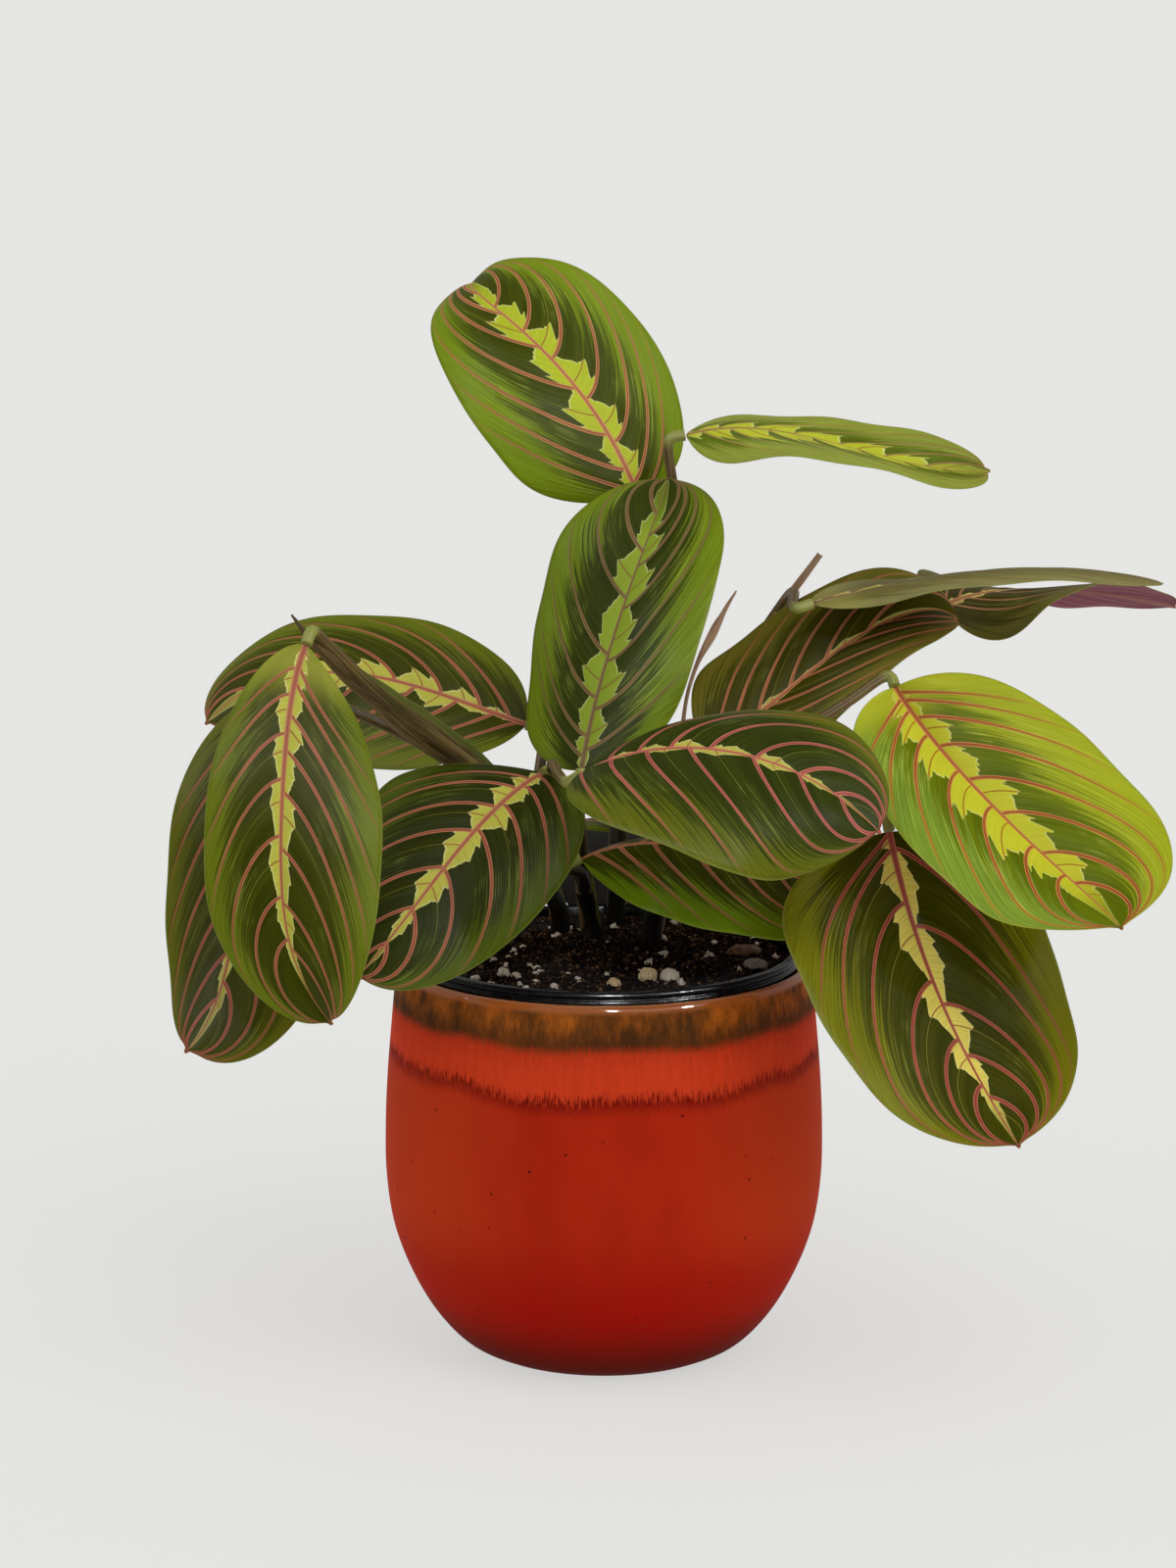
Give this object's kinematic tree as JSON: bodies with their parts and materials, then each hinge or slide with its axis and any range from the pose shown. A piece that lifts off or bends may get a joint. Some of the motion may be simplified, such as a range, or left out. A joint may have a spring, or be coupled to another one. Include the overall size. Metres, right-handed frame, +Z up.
{
  "type": "potted prayer plant",
  "caption": "Potted prayer plant (maranta): broad oval leaves with arching red veins on thin petioles, in soil in a black nursery pot inside a round red glazed ceramic pot.",
  "frame": {"origin": "centre of the ceramic pot's flat base, on the surface that it stands on", "axes": "+Z up; +Y away from the viewer of the picture, +X to the viewer's right"},
  "size_m": [0.3226, 0.245, 0.3353],
  "materials": {
    "glaze": "glossy red-orange glaze with a brown band under the lip",
    "black_plastic": "black moulded plastic",
    "soil": "dark crumbly potting soil",
    "pebble": "pale dusty mineral",
    "bark": "rough brown bark",
    "stem": "olive to grey-brown plant skin",
    "bright_leaf": "satin yellow-green leaf with dark blotches and red veins",
    "dark_leaf": "satin dark green leaf with lime midrib and red veins"
  },
  "bodies": {
    "root": {"ceramic_pot": "glaze", "nursery_pot": "black_plastic", "soil": "soil", "pebble_white": "pebble", "pebble_tan": "pebble", "pebble_golden": "pebble", "perlite_lump": "pebble", "stone_grey": "pebble", "bark_chip": "bark", "shoot_left": "stem", "shoot_middle": "stem", "shoot_right": "stem", "shoot_tall": "stem", "leaf_top": "bright_leaf", "leaf_center": "bright_leaf", "leaf_upper_right": "bright_leaf", "leaf_bright_right": "bright_leaf", "leaf_back_left": "dark_leaf", "leaf_front_left": "dark_leaf", "leaf_far_left": "dark_leaf", "leaf_over_rim": "dark_leaf", "leaf_ridge": "dark_leaf", "leaf_low": "dark_leaf", "leaf_low_right": "dark_leaf", "leaf_mid_right": "dark_leaf", "leaf_flat_right": "dark_leaf", "leaf_far_right": "dark_leaf", "leaf_hidden_left": "dark_leaf", "leaf_hidden_back": "dark_leaf", "leaf_hidden_right": "dark_leaf"}
  },
  "joints": []
}
